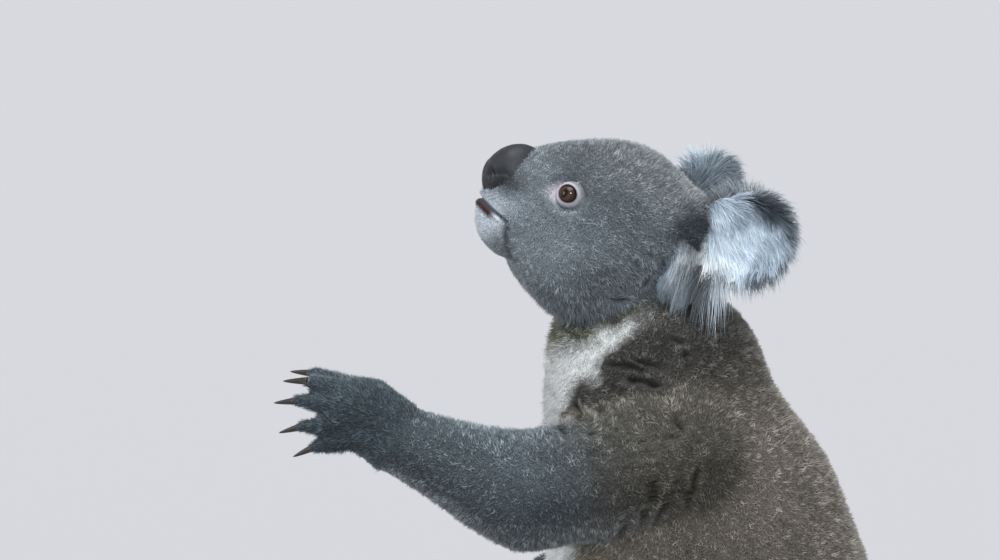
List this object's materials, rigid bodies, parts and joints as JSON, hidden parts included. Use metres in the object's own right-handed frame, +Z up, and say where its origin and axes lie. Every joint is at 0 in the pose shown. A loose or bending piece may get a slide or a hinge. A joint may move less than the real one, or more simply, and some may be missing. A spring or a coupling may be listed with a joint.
{
  "type": "koala",
  "caption": "Life-size still model of a seated koala, head lifted and turned a little to its left, left arm reaching forward, right hand on its knee.",
  "frame": {"origin": "middle of the base of the bounding box, at floor level", "axes": "+Z up, the koala faces -Y, its left side is +X"},
  "size_m": [0.302, 0.4352, 0.5089],
  "materials": {
    "coat_head": "matte",
    "coat_body": "matte",
    "coat_limbs": "matte",
    "coat_feet": "matte",
    "coat_ear": "matte",
    "nose": "satin",
    "eye": "polished",
    "claw": "satin"
  },
  "bodies": {
    "root": {"trunk": "coat_body", "tail": "coat_body", "neck": "coat_body", "head": "coat_head", "jaw": "coat_head", "nose": "nose", "ear_left": "coat_ear", "ear_right": "coat_ear", "eye_left": "eye", "eye_right": "eye", "upper_arm_left": "coat_limbs", "forearm_left": "coat_limbs", "hand_left": "coat_feet", "thigh_left": "coat_limbs", "shank_left": "coat_limbs", "foot_left": "coat_feet", "claw_hand_left_1": "claw", "claw_hand_left_2": "claw", "claw_hand_left_3": "claw", "claw_hand_left_4": "claw", "claw_hand_left_5": "claw", "claw_foot_left_2": "claw", "claw_foot_left_3": "claw", "claw_foot_left_4": "claw", "claw_foot_left_5": "claw", "upper_arm_right": "coat_limbs", "forearm_right": "coat_limbs", "hand_right": "coat_feet", "thigh_right": "coat_limbs", "shank_right": "coat_limbs", "foot_right": "coat_feet", "claw_hand_right_1": "claw", "claw_hand_right_2": "claw", "claw_hand_right_3": "claw", "claw_hand_right_4": "claw", "claw_hand_right_5": "claw", "claw_foot_right_2": "claw", "claw_foot_right_3": "claw", "claw_foot_right_4": "claw", "claw_foot_right_5": "claw"}
  },
  "joints": []
}
